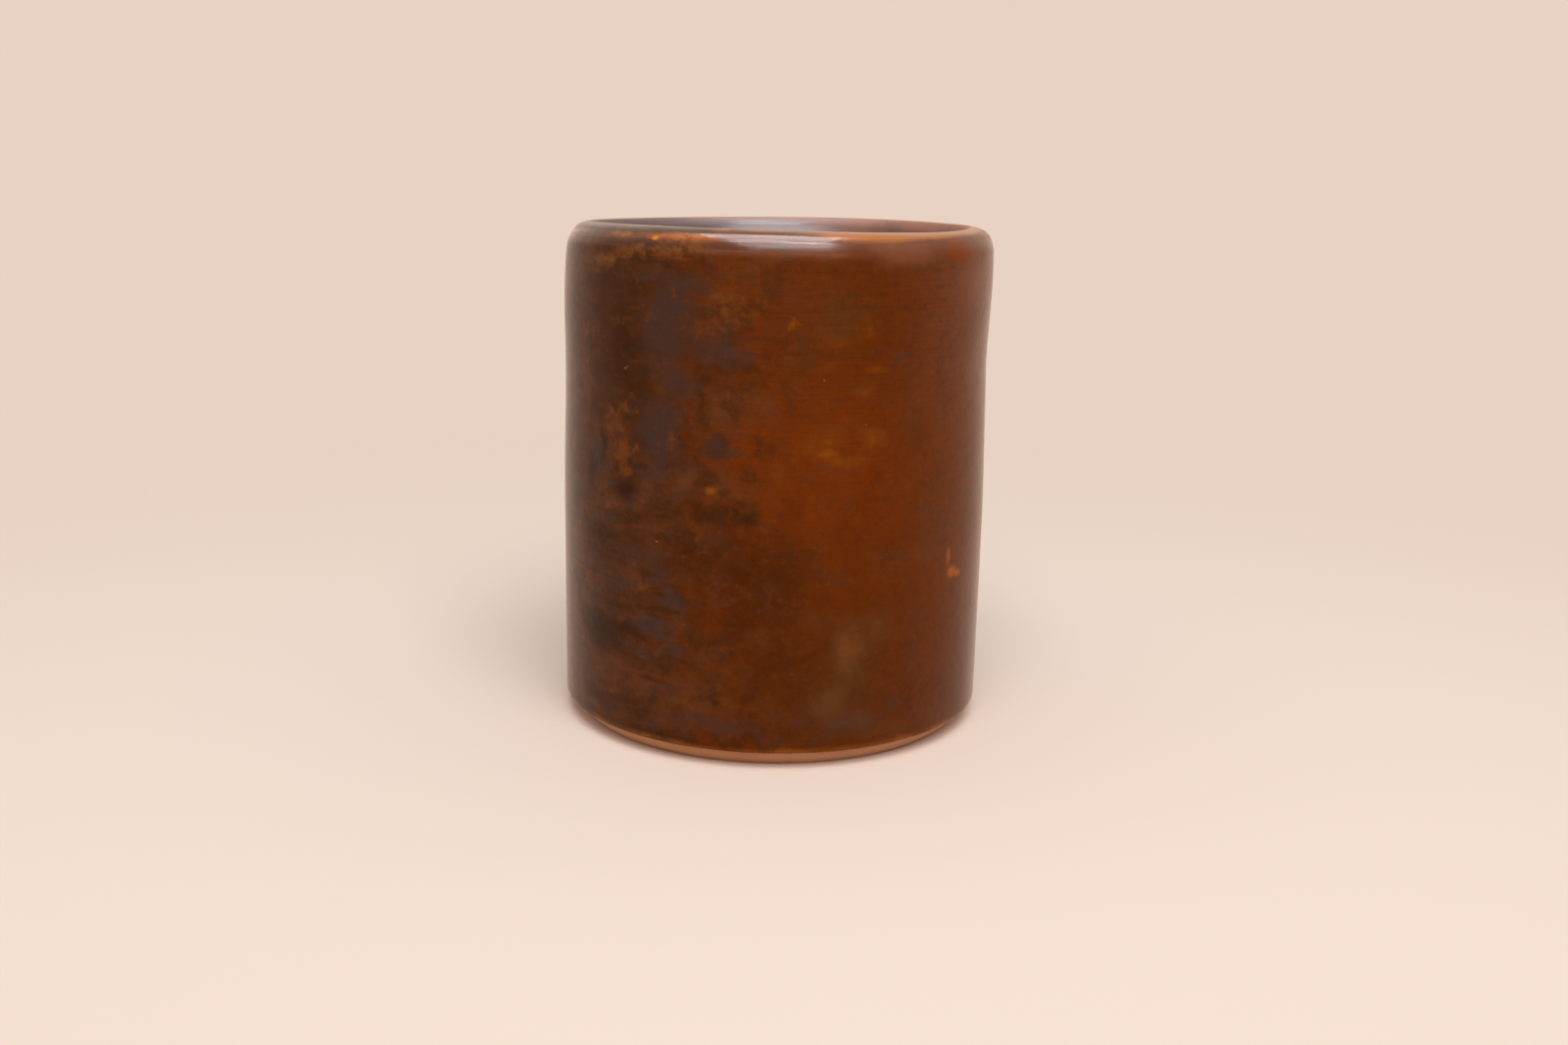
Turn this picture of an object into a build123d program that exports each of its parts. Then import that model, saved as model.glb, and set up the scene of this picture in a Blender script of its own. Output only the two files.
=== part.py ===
from build123d import *
import os
from math import cos, pi

# A handleless cylindrical drinking cup of fired clay, in millimetres.
#
# The cup stands on z = 0 with its axis on Z. A clay disc is the base, and its lower edge is cut
# back to a bevel that stays bare. A clay wall stands on the disc and turns over into a rounded
# lip. A coil of clay is pressed into the corner where the wall meets the disc. One coat of glaze
# covers the outside from the bevel to the crest of the lip, and another lines the inside from
# there down over the coil and the disc. Every piece is a section turned round Z, and the pieces
# meet face to face.

# The finished cup, glaze included
cup_height = 90.0
belly_radius = 39.0
waist_inset = 0.4
shoulder_inset = 0.3
lip_round = 1.8
belly_height_share = 0.4
waist_height_share = 0.7

# Clay and glaze
clay_thickness = 5.2
glaze_thickness = 0.5

# The base disc
disc_thickness = 5.0
bevel_height = 3.0
bevel_width = 3.0
foot_edge_round = 0.8
standing_ring_width = 8.0
hollow_depth = 0.8

# The coil in the inside corner
coil_size = 4.0

# Radii that follow, from the outside in
waist_radius = belly_radius - waist_inset
shoulder_radius = belly_radius - shoulder_inset
wall_thickness = clay_thickness + 2 * glaze_thickness
shoulder_round = wall_thickness - lip_round
crest_radius = shoulder_radius - shoulder_round
cavity_radius = crest_radius - lip_round
clay_bore_radius = cavity_radius + glaze_thickness
coil_foot_radius = clay_bore_radius - coil_size
disc_radius = belly_radius - glaze_thickness
foot_radius = disc_radius - bevel_width
hollow_radius = foot_radius - standing_ring_width

# Heights that follow, from the table up
floor_height = disc_thickness + glaze_thickness
coil_top_height = disc_thickness + coil_size
belly_height = cup_height * belly_height_share
waist_height = cup_height * waist_height_share
shoulder_height = cup_height - shoulder_round
lip_height = cup_height - lip_round

# The finished inside corner, whose hollow lies one coat of glaze over the coil
corner_round = coil_size + 2 * glaze_thickness
corner_middle_radius = cavity_radius - corner_round
corner_middle_height = floor_height + corner_round

UPWARDS = (0, 1)
OUTWARDS = (1, 0)
INWARDS = (-1, 0)
EIGHTH_TURN = pi / 4


def turned(outline):
    """The solid that a closed outline of (radius, height) lines makes when it turns round Z."""
    return revolve(make_face(Plane.XZ * outline), Axis.Z)


def outer_side(depth, foot_height):
    """The outside, depth under the finished surface, from foot_height to the crest of the lip."""
    belly = (belly_radius - depth, belly_height)
    waist = (waist_radius - depth, waist_height)
    shoulder = (shoulder_radius - depth, shoulder_height)
    upright = Line((belly_radius - depth, foot_height), belly)
    drawn_in = Spline(belly, waist, shoulder, tangents=(UPWARDS, UPWARDS))
    turned_over = TangentArc(shoulder, (crest_radius, cup_height - depth), tangent=UPWARDS)
    return upright + drawn_in + turned_over


def lip_edge(depth):
    """The inner edge of the lip, depth under the finished surface, from its crest to the bore."""
    crest = (crest_radius, cup_height - depth)
    return TangentArc(crest, (cavity_radius + depth, lip_height), tangent=INWARDS)


def crest_joint():
    """The line through the glaze at the crest of the lip, where the two coats meet."""
    return Line((crest_radius, cup_height - glaze_thickness), (crest_radius, cup_height))


def coil_face():
    """The hollow face of the coil, from the disc to the wall."""
    set_back = (corner_round + glaze_thickness) * cos(EIGHTH_TURN)
    return ThreePointArc(
        (coil_foot_radius, disc_thickness),
        (corner_middle_radius + set_back, corner_middle_height - set_back),
        (clay_bore_radius, coil_top_height),
    )


def base_disc():
    """The clay disc, bevelled at its lower edge and slightly hollow inside its standing ring."""
    hollow = TangentArc((0, hollow_depth), (hollow_radius, 0), tangent=OUTWARDS)
    rest = Polyline(
        (hollow_radius, 0),
        (foot_radius, 0),
        (disc_radius, bevel_height),
        (disc_radius, disc_thickness),
        (0, disc_thickness),
        (0, hollow_depth),
    )
    disc = turned(hollow + rest)
    foot_edge = disc.edges().group_by(Axis.Z)[0].sort_by(SortBy.RADIUS)[-1]
    return fillet(foot_edge, foot_edge_round)


def clay_wall():
    """The clay wall, which stands on the disc and turns over into the lip."""
    bore_and_foot = Polyline(
        (clay_bore_radius, lip_height),
        (clay_bore_radius, disc_thickness),
        (disc_radius, disc_thickness),
    )
    outside = outer_side(glaze_thickness, disc_thickness)
    return turned(outside + lip_edge(glaze_thickness) + bore_and_foot)


def seam_coil():
    """The coil of clay that fills the corner between the wall and the disc."""
    corner = Polyline(
        (coil_foot_radius, disc_thickness),
        (clay_bore_radius, disc_thickness),
        (clay_bore_radius, coil_top_height),
    )
    return turned(corner + coil_face())


def outer_glaze():
    """The coat on the outside, which ends in a rounded bead where the bevel starts."""
    bead_height = bevel_height + glaze_thickness
    bead = TangentArc((disc_radius, bevel_height), (belly_radius, bead_height), tangent=OUTWARDS)
    finished_side = outer_side(0, bead_height)
    clay_side = outer_side(glaze_thickness, bevel_height)
    return turned(bead + finished_side + crest_joint() + clay_side)


def liner_glaze():
    """The coat on the inside: lip edge, bore, round corner and floor."""
    corner_foot = (corner_middle_radius, floor_height)
    corner_top = (cavity_radius, corner_middle_height)
    corner = TangentArc(corner_foot, corner_top, tangent=OUTWARDS)
    bore = Line((cavity_radius, lip_height), corner_top)
    floor = Polyline(
        corner_foot,
        (0, floor_height),
        (0, disc_thickness),
        (coil_foot_radius, disc_thickness),
    )
    clay_bore = Line((clay_bore_radius, coil_top_height), (clay_bore_radius, lip_height))
    finished_side = lip_edge(0) + bore + corner + floor
    clay_side = coil_face() + clay_bore + lip_edge(glaze_thickness)
    return turned(finished_side + clay_side + crest_joint())


os.makedirs("parts", exist_ok=True)
for piece in (base_disc, clay_wall, seam_coil, outer_glaze, liner_glaze):
    export_step(piece(), f"parts/{piece.__name__}.step")
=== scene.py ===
import math
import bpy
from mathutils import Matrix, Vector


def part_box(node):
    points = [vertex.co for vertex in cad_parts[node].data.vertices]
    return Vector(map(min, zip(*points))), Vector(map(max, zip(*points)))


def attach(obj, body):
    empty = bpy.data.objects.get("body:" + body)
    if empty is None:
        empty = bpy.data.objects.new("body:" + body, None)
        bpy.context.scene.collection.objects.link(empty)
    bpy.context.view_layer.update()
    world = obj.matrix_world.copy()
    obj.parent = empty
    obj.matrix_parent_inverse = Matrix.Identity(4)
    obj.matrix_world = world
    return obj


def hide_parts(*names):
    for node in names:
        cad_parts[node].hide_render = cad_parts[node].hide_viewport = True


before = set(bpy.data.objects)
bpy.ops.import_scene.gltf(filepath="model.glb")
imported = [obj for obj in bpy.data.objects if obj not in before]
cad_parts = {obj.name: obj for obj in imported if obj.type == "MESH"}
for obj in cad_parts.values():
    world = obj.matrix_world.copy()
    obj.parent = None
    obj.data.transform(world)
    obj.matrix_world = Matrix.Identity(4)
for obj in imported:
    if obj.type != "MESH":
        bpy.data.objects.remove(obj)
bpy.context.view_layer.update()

from types import SimpleNamespace

import bpy
from mathutils import Matrix, Vector

# A handmade, handleless clay tumbler with a mottled iron-brown glaze, on a pale floor.
# Sizes are in metres. Angles go round the cup from its front, which faces -Y, towards +X.

MM = 0.001
BODY = "root"

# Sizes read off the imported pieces
disc_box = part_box("base_disc")
coil_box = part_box("seam_coil")
outer_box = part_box("outer_glaze")
liner_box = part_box("liner_glaze")
BELLY_RADIUS = outer_box[1].x
CUP_HEIGHT = outer_box[1].z
BEVEL_HEIGHT = outer_box[0].z
DISC_RADIUS = disc_box[1].x
DISC_THICKNESS = disc_box[1].z
CREST_RADIUS = liner_box[1].x
CLAY_BORE_RADIUS = coil_box[1].x
COIL_SIZE = coil_box[1].z - DISC_THICKNESS

# Sizes that the boxes don't give
WAIST_INSET = 0.4 * MM
SHOULDER_INSET = 0.3 * MM
BELLY_HEIGHT = 0.4 * CUP_HEIGHT
WAIST_HEIGHT = 0.7 * CUP_HEIGHT
BEVEL_WIDTH = 3.0 * MM
FOOT_EDGE_ROUND = 0.8 * MM
STANDING_RING_WIDTH = 8.0 * MM
HOLLOW_DEPTH = 0.8 * MM

# Sizes that follow
GLAZE = BELLY_RADIUS - DISC_RADIUS
CAVITY_RADIUS = CLAY_BORE_RADIUS - GLAZE
LIP_ROUND = CREST_RADIUS - CAVITY_RADIUS
SHOULDER_RADIUS = BELLY_RADIUS - SHOULDER_INSET
SHOULDER_ROUND = SHOULDER_RADIUS - CREST_RADIUS
SHOULDER_HEIGHT = CUP_HEIGHT - SHOULDER_ROUND
LIP_HEIGHT = CUP_HEIGHT - LIP_ROUND
FLOOR_HEIGHT = DISC_THICKNESS + GLAZE
FOOT_RADIUS = DISC_RADIUS - BEVEL_WIDTH
HOLLOW_RADIUS = FOOT_RADIUS - STANDING_RING_WIDTH
CORNER_ROUND = COIL_SIZE + 2 * GLAZE

# How finely a piece is divided, with angles in degrees
SIDES = 240
WALL_STEP = 1.4 * MM
ARC_STEPS = 15
HOLLOW_STEPS = 12
FOOT_EDGE_STEPS = 4
BEAD_STEPS = 6
NEAR_CREST = 89.4
SHARP_ANGLE = 40
MERGE_DISTANCE = 0.002 * MM


def eased(share):
    """A share from 0 to 1, flat at both ends."""
    return share * share * (3 - 2 * share)


def side_radius(height):
    """The finished outside radius at a height below the shoulder."""
    if height <= BELLY_HEIGHT:
        return BELLY_RADIUS
    if height <= WAIST_HEIGHT:
        share = (height - BELLY_HEIGHT) / (WAIST_HEIGHT - BELLY_HEIGHT)
        return BELLY_RADIUS - WAIST_INSET * eased(share)
    share = (height - WAIST_HEIGHT) / (SHOULDER_HEIGHT - WAIST_HEIGHT)
    return BELLY_RADIUS - WAIST_INSET + (WAIST_INSET - SHOULDER_INSET) * eased(share)


def arc(middle, radius, start, end, steps=ARC_STEPS):
    """Points of an arc in the (radius, height) plane, between two angles in degrees."""
    turns = [math.radians(start + (end - start) * i / steps) for i in range(steps + 1)]
    return [(middle[0] + radius * math.cos(t), middle[1] + radius * math.sin(t)) for t in turns]


def divided(points):
    """The same outline with its long straight stretches cut into short ones."""
    fine = [points[0]]
    for (r0, z0), (r1, z1) in zip(points, points[1:]):
        count = max(1, math.ceil(math.hypot(r1 - r0, z1 - z0) / WALL_STEP))
        fine += [(r0 + (r1 - r0) * i / count, z0 + (z1 - z0) * i / count) for i in range(1, count + 1)]
    return fine


def outside(depth, foot_height):
    """The outside from foot_height up to the crest, depth under the finished surface."""
    count = math.ceil((SHOULDER_HEIGHT - foot_height) / WALL_STEP)
    heights = [foot_height + (SHOULDER_HEIGHT - foot_height) * i / count for i in range(count)]
    wall = [(side_radius(height) - depth, height) for height in heights]
    shoulder = arc((CREST_RADIUS, SHOULDER_HEIGHT), SHOULDER_ROUND - depth, 0, NEAR_CREST)
    return wall + shoulder + [(CREST_RADIUS, CUP_HEIGHT - depth)]


def lip_edge(depth):
    """The inner edge of the lip from its crest to the bore, depth under the finished surface."""
    edge = arc((CREST_RADIUS, LIP_HEIGHT), LIP_ROUND - depth, 180 - NEAR_CREST, 180)
    return [(CREST_RADIUS, CUP_HEIGHT - depth)] + edge


def coil_face():
    """The hollow face of the coil from the disc up to the wall."""
    middle = (CAVITY_RADIUS - CORNER_ROUND, FLOOR_HEIGHT + CORNER_ROUND)
    reach = math.hypot(CORNER_ROUND + GLAZE - COIL_SIZE, CORNER_ROUND + GLAZE)
    lean = math.degrees(math.asin((CORNER_ROUND + GLAZE - COIL_SIZE) / reach))
    points = arc(middle, reach, lean - 90, -lean)
    sink = reach - CORNER_ROUND - GLAZE
    swell = [math.sin(math.pi * i / (len(points) - 1)) for i in range(len(points))]
    slope = math.cos(math.pi / 4)
    return [(r - sink * s * slope, z + sink * s * slope) for (r, z), s in zip(points, swell)]


# The outline of each piece as (radius, height) points. It is closed, or both its ends are on the
# axis, and it runs anticlockwise, which turns the faces outwards.


def base_disc_outline():
    shares = [i / HOLLOW_STEPS for i in range(HOLLOW_STEPS + 1)]
    underside = [(HOLLOW_RADIUS * share, HOLLOW_DEPTH * (1 - share**2)) for share in shares]
    slope = math.degrees(math.atan2(BEVEL_HEIGHT, BEVEL_WIDTH))
    back = FOOT_EDGE_ROUND * math.tan(math.radians(slope / 2))
    middle = (FOOT_RADIUS - back, FOOT_EDGE_ROUND)
    foot_edge = arc(middle, FOOT_EDGE_ROUND, -90, slope - 90, FOOT_EDGE_STEPS)
    rest = [(DISC_RADIUS, BEVEL_HEIGHT), (DISC_RADIUS, DISC_THICKNESS), (0, DISC_THICKNESS)]
    return divided(underside + foot_edge + rest)


def clay_wall_outline():
    inside = [(CLAY_BORE_RADIUS, DISC_THICKNESS), (DISC_RADIUS, DISC_THICKNESS)]
    return divided(outside(GLAZE, DISC_THICKNESS) + lip_edge(GLAZE) + inside)


def seam_coil_outline():
    corner = [(CLAY_BORE_RADIUS, DISC_THICKNESS)]
    face = coil_face()
    return divided(face[:1] + corner + face[::-1])


def outer_glaze_outline():
    bead = arc((DISC_RADIUS, BEVEL_HEIGHT + GLAZE), GLAZE, -90, 0, BEAD_STEPS)
    clay_side = outside(GLAZE, BEVEL_HEIGHT)[::-1]
    return bead[:-1] + outside(0, BEVEL_HEIGHT + GLAZE) + clay_side


def liner_glaze_outline():
    corner_middle = (CAVITY_RADIUS - CORNER_ROUND, FLOOR_HEIGHT + CORNER_ROUND)
    corner = arc(corner_middle, CORNER_ROUND, 0, -90)
    clay_side = [(0, DISC_THICKNESS)] + coil_face() + lip_edge(GLAZE)[::-1]
    return divided(clay_side + lip_edge(0) + corner + [(0, FLOOR_HEIGHT)])


# Node trees, built with one short call for each node


class Recipe:
    """A node tree and the short calls that fill it."""

    def __init__(self, tree):
        self.tree = tree

    def put(self, kind, inputs=None, **settings):
        """A new node, with its settings and what goes into its sockets."""
        made = self.tree.nodes.new(kind)
        for name, value in settings.items():
            setattr(made, name, value)
        for socket, value in (inputs or {}).items():
            self.feed(made.inputs[socket], value)
        return made

    def feed(self, socket, value):
        """Links a socket into another, or sets it to a value."""
        if isinstance(value, bpy.types.NodeSocket):
            self.tree.links.new(value, socket)
        else:
            socket.default_value = value

    def maths(self, operation, *values):
        return self.put("ShaderNodeMath", dict(enumerate(values)), operation=operation).outputs[0]

    def times(self, *values):
        """The product of some values."""
        product = values[0]
        for value in values[1:]:
            product = self.maths("MULTIPLY", product, value)
        return product

    def vector(self, operation, *values):
        made = self.put("ShaderNodeVectorMath", dict(enumerate(values)), operation=operation)
        return made.outputs["Value" if operation == "LENGTH" else "Vector"]

    def rise(self, value, low, high, start=0.0, end=1.0):
        """Goes smoothly from start to end as value goes from low to high."""
        sockets = {"Value": value, "From Min": low, "From Max": high, "To Min": start, "To Max": end}
        return self.put("ShaderNodeMapRange", sockets, interpolation_type="SMOOTHSTEP").outputs[0]

    def sweep(self, angle, low, high, start=0.0, end=1.0):
        """Goes smoothly from start to end as an angle goes from low to high, both in degrees."""
        return self.rise(angle, math.radians(low), math.radians(high), start, end)

    def noise(self, where, size, detail=3, roughness=0.55, stretch=1, shift=0.0, output="Fac"):
        """Noise in lumps about size high, and stretch times as long along X and Y."""
        scale = (1 / (size * stretch), 1 / (size * stretch), 1 / size)
        place = self.vector("MULTIPLY_ADD", where, scale, (shift,) * 3)
        sockets = {"Vector": place, "Scale": 1.0, "Detail": detail, "Roughness": roughness}
        return self.put("ShaderNodeTexNoise", sockets).outputs[output]

    def bump(self, relief, strength, distance):
        """A normal raised by a relief."""
        sockets = {"Height": relief, "Strength": strength, "Distance": distance}
        return self.put("ShaderNodeBump", sockets).outputs[0]

    def paint(self, amount, under, over):
        """One colour over another."""
        made = self.put("ShaderNodeMix", {"Factor": amount}, data_type="RGBA", clamp_factor=True)
        self.feed(made.inputs[6], under)
        self.feed(made.inputs[7], over)
        return made.outputs[2]


# How far the handmade cup departs from a true turned form, with angles in degrees

LIP_TILT = 0.21 * MM
LIP_TILT_ANGLE = 17
LIP_WAVE = 0.22 * MM
LIP_WAVE_ANGLE = -33
LIP_RISE = 0.26 * MM
LIP_RISE_ANGLE = 86
LIP_RISE_WIDTH = 24
LEAN_START = 0.5 * CUP_HEIGHT
FLARE = 0.30 * MM
FLARE_HEIGHT = 5.0 * MM
WAVER = 0.06 * MM
WAVER_SIZE = 22 * MM
LINE_WAVER = 0.12 * MM
LINE_WAVER_SIZE = 9 * MM
LINE_REACH = 4.0
RIM_SHARES = (0.84, 0.97)

# Soft dents and swellings: angle, height, half width as an angle, half height, depth outwards
DENTS = (
    (84, 89.2 * MM, 34, 1.4 * MM, 0.45 * MM),
    (80, 81.0 * MM, 40, 6.0 * MM, 0.18 * MM),
    (80, 66.5 * MM, 40, 5.0 * MM, -0.18 * MM),
    (80, 30.0 * MM, 44, 22.0 * MM, 0.12 * MM),
    (-84, 87.6 * MM, 36, 2.4 * MM, -0.34 * MM),
    (-80, 86.0 * MM, 40, 5.0 * MM, -0.32 * MM),
    (-80, 74.0 * MM, 40, 5.0 * MM, 0.10 * MM),
    (-80, 50.0 * MM, 40, 10.0 * MM, 0.10 * MM),
    (158, 58.0 * MM, 40, 14.0 * MM, 0.16 * MM),
    (-150, 34.0 * MM, 34, 10.0 * MM, -0.20 * MM),
    (-145, 72.0 * MM, 34, 7.0 * MM, -0.20 * MM),
)


def input_socket(tree, name, kind, value=None):
    """A named input of a node tree, and the value it starts with."""
    socket = tree.interface.new_socket(name, in_out="INPUT", socket_type=kind)
    if value is not None:
        socket.default_value = value


def hump(r, off):
    """A bell curve: 1 where off is 0, and 0.37 where it is 1."""
    return r.maths("EXPONENT", r.times(r.maths("POWER", off, 2.0), -1.0))


def bell(r, angle, where, half_width):
    """A bell curve round the cup, whose middle and half width are in degrees."""
    off = r.maths("WRAP", r.maths("SUBTRACT", angle, math.radians(where)), math.pi, -math.pi)
    return hump(r, r.maths("DIVIDE", off, math.radians(half_width)))


def turning_tree():
    """Geometry Nodes that turn an outline round Z and make it as uneven as handmade work."""
    tree = bpy.data.node_groups.new("turn_by_hand", "GeometryNodeTree")
    input_socket(tree, "Outline", "NodeSocketGeometry")
    input_socket(tree, "Sides", "NodeSocketInt", SIDES)
    input_socket(tree, "Cup Radius", "NodeSocketFloat", BELLY_RADIUS)
    input_socket(tree, "Cup Height", "NodeSocketFloat", CUP_HEIGHT)
    input_socket(tree, "Glaze Line Height", "NodeSocketFloat", BEVEL_HEIGHT)
    input_socket(tree, "Lip Tilt", "NodeSocketFloat", LIP_TILT)
    input_socket(tree, "Lip Wave", "NodeSocketFloat", LIP_WAVE)
    input_socket(tree, "Inner Flare", "NodeSocketFloat", FLARE)
    input_socket(tree, "Waver", "NodeSocketFloat", WAVER)
    input_socket(tree, "Line Waver", "NodeSocketFloat", LINE_WAVER)
    input_socket(tree, "Finish", "NodeSocketMaterial")
    tree.interface.new_socket("Piece", in_out="OUTPUT", socket_type="NodeSocketGeometry")

    r = Recipe(tree)
    given = r.put("NodeGroupInput").outputs

    # One grid column for each side, one row for each point of the outline
    points = r.put(
        "GeometryNodeAttributeDomainSize", {"Geometry": given["Outline"]}, component="MESH"
    ).outputs["Point Count"]
    columns = r.maths("ADD", given["Sides"], 1)
    grid = r.put("GeometryNodeMeshGrid", {"Vertices X": columns, "Vertices Y": points})
    index = r.put("GeometryNodeInputIndex").outputs[0]
    column = r.maths("FLOOR", r.maths("DIVIDE", index, points))
    row = r.maths("FLOORED_MODULO", index, points)
    sample = r.put(
        "GeometryNodeSampleIndex",
        {"Geometry": given["Outline"], "Index": row},
        data_type="FLOAT_VECTOR",
    )
    r.feed(sample.inputs["Value"], r.put("GeometryNodeInputPosition").outputs[0])
    outline = r.put("ShaderNodeSeparateXYZ", {0: sample.outputs[0]}).outputs
    radius, height = outline["X"], outline["Z"]
    turn = r.maths("DIVIDE", column, given["Sides"])
    angle = r.maths("MULTIPLY_ADD", turn, 2 * math.pi, -math.pi)
    sine, cosine = r.maths("SINE", angle), r.maths("COSINE", angle)
    backward = r.maths("MULTIPLY", cosine, -1.0)

    # The departures depend on angle and height alone, so pieces that meet stay face to face
    ring_x = r.maths("MULTIPLY", sine, given["Cup Radius"])
    ring_y = r.maths("MULTIPLY", backward, given["Cup Radius"])
    ring = r.put("ShaderNodeCombineXYZ", {"X": ring_x, "Y": ring_y, "Z": height}).outputs[0]
    swing = r.maths("MULTIPLY_ADD", r.noise(ring, WAVER_SIZE, 1.5), 2.0, -1.0)
    outward = r.maths("MULTIPLY", swing, given["Waver"])
    for where, level, half_width, half_height, depth in DENTS:
        upward = hump(r, r.maths("DIVIDE", r.maths("SUBTRACT", height, level), half_height))
        spread = r.times(bell(r, angle, where, half_width), upward)
        outward = r.maths("MULTIPLY_ADD", spread, depth, outward)
    growth = r.maths("ADD", r.maths("DIVIDE", outward, given["Cup Radius"]), 1.0)
    radius = r.maths("MULTIPLY", radius, growth)

    # The inner edge of the lip opens a little
    opened = r.maths("SUBTRACT", height, LIP_HEIGHT - FLARE_HEIGHT)
    opened = r.maths("DIVIDE", r.maths("MAXIMUM", opened, 0.0), FLARE_HEIGHT)
    opened = r.maths("MULTIPLY", r.maths("POWER", opened, 2.0), given["Inner Flare"])
    inner = r.rise(outline["X"], CAVITY_RADIUS, CREST_RADIUS, 1.0, 0.0)
    radius = r.maths("MULTIPLY_ADD", opened, inner, radius)

    # The lip leans and waves, and the glaze line wanders
    tilt = r.maths("COSINE", r.maths("SUBTRACT", angle, math.radians(LIP_TILT_ANGLE)))
    wave = r.maths("COSINE", r.maths("MULTIPLY_ADD", angle, 2.0, -2 * math.radians(LIP_WAVE_ANGLE)))
    lift = r.maths("MULTIPLY", tilt, given["Lip Tilt"])
    lift = r.maths("MULTIPLY_ADD", wave, given["Lip Wave"], lift)
    raised = bell(r, angle, LIP_RISE_ANGLE, LIP_RISE_WIDTH)
    lift = r.maths("MULTIPLY_ADD", raised, LIP_RISE, lift)
    lift = r.maths("MULTIPLY", lift, r.rise(height, LEAN_START, given["Cup Height"]))
    flat_ring = r.put("ShaderNodeCombineXYZ", {"X": ring_x, "Y": ring_y}).outputs[0]
    wander = r.noise(flat_ring, LINE_WAVER_SIZE, 2, shift=3.0)
    wander = r.maths("MULTIPLY", r.maths("MULTIPLY_ADD", wander, 2.0, -1.0), given["Line Waver"])
    line = given["Glaze Line Height"]
    above_table = r.rise(height, 0.0, line)
    under_belly = r.rise(height, line, r.maths("MULTIPLY", line, LINE_REACH), 1.0, 0.0)
    rim_start, rim_end = [r.maths("MULTIPLY", given["Cup Radius"], share) for share in RIM_SHARES]
    near_line = r.times(above_table, under_belly, r.rise(outline["X"], rim_start, rim_end))
    lift = r.maths("MULTIPLY_ADD", wander, near_line, lift)

    x = r.maths("MULTIPLY", sine, radius)
    y = r.maths("MULTIPLY", backward, radius)
    z = r.maths("ADD", height, lift)
    place = r.put("ShaderNodeCombineXYZ", {"X": x, "Y": y, "Z": z}).outputs[0]
    piece = r.put("GeometryNodeSetPosition", {"Geometry": grid.outputs["Mesh"], "Position": place})
    merging = {"Geometry": piece.outputs[0], "Distance": MERGE_DISTANCE}
    piece = r.put("GeometryNodeMergeByDistance", merging)
    piece = r.put("GeometryNodeSetShadeSmooth", {"Geometry": piece.outputs[0]})
    fold = r.put("GeometryNodeInputMeshEdgeAngle").outputs["Unsigned Angle"]
    sharp = r.maths("GREATER_THAN", fold, math.radians(SHARP_ANGLE))
    creases = {"Geometry": piece.outputs[0], "Selection": sharp, "Shade Smooth": False}
    piece = r.put("GeometryNodeSetShadeSmooth", creases, domain="EDGE")
    piece = r.put("GeometryNodeRealizeInstances", {"Geometry": piece.outputs[0]})
    piece = r.put("GeometryNodeSetMaterial", {"Geometry": piece.outputs[0], "Material": given["Finish"]})
    r.put("NodeGroupOutput", {"Piece": piece.outputs[0]})
    return tree


def socket_identifier(tree, name):
    return next(item.identifier for item in tree.interface.items_tree if item.name == name)


def turned_piece(name, outline, finish, tree):
    """A plain mesh of the outline turned by the tree, riding on the cup in the place of its node."""
    line = bpy.data.meshes.new(name + "_outline")
    edges = [(i, i + 1) for i in range(len(outline) - 1)]
    line.from_pydata([(radius, 0, height) for radius, height in outline], edges, [])
    piece = bpy.data.objects.new(name + "_piece", line)
    bpy.context.scene.collection.objects.link(piece)
    turning = piece.modifiers.new("turning", "NODES")
    turning.node_group = tree
    turning[socket_identifier(tree, "Finish")] = finish
    evaluated = piece.evaluated_get(bpy.context.evaluated_depsgraph_get())
    mesh = bpy.data.meshes.new_from_object(evaluated)
    piece.modifiers.remove(turning)
    piece.data = mesh
    mesh.name = name + "_mesh"
    bpy.data.meshes.remove(line)
    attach(piece, BODY)
    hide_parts(name)
    return piece


# Finishes

GLOSS_IOR = 1.5


def new_finish(name):
    """An empty material, and the recipe that fills its nodes."""
    finish = bpy.data.materials.new(name)
    finish.use_nodes = True
    finish.node_tree.nodes.clear()
    return finish, Recipe(finish.node_tree)


def close_finish(r, colour, roughness, normal, specular, **others):
    """The shader, with any other input named in small letters."""
    sockets = {"Base Color": colour, "Roughness": roughness, "Normal": normal, "IOR": GLOSS_IOR}
    sockets["Specular IOR Level"] = specular
    shader = r.put("ShaderNodeBsdfPrincipled", sockets)
    for name, value in others.items():
        r.feed(shader.inputs[name.replace("_", " ").title()], value)
    r.put("ShaderNodeOutputMaterial", {"Surface": shader.outputs[0]})


def surface_place(r):
    """Object coordinates, and from them the angle from the front, the height and the radius."""
    spot = r.put("ShaderNodeTexCoord").outputs["Object"]
    x, y, height = r.put("ShaderNodeSeparateXYZ", {0: spot}).outputs
    angle = r.maths("ARCTAN2", x, r.times(y, -1.0))
    radius = r.maths("SQRT", r.maths("ADD", r.maths("POWER", x, 2.0), r.maths("POWER", y, 2.0)))
    return SimpleNamespace(spot=spot, x=x, y=y, angle=angle, height=height, radius=radius)


def folded(r, angle):
    """The angle in front, and its mirror image behind, so that no seam shows at the back."""
    return r.maths("ARCSINE", r.maths("SINE", angle))


def daubs(r, place, marks):
    """The strongest of some soft oval marks, each 1 at its middle times its strength."""
    total = 0.0
    for angle, height, half_width, half_height, strength in marks:
        middle = (math.radians(angle) * BELLY_RADIUS, height * MM)
        size = (half_width * MM, half_height * MM)
        scale = (1 / size[0], 1 / size[1], 0)
        shift = (-middle[0] / size[0], -middle[1] / size[1], 0)
        local = r.vector("MULTIPLY_ADD", place, scale, shift)
        mark = r.maths("MULTIPLY_ADD", r.vector("LENGTH", local), -strength, strength)
        total = r.maths("MAXIMUM", mark, total)
    return total


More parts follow.
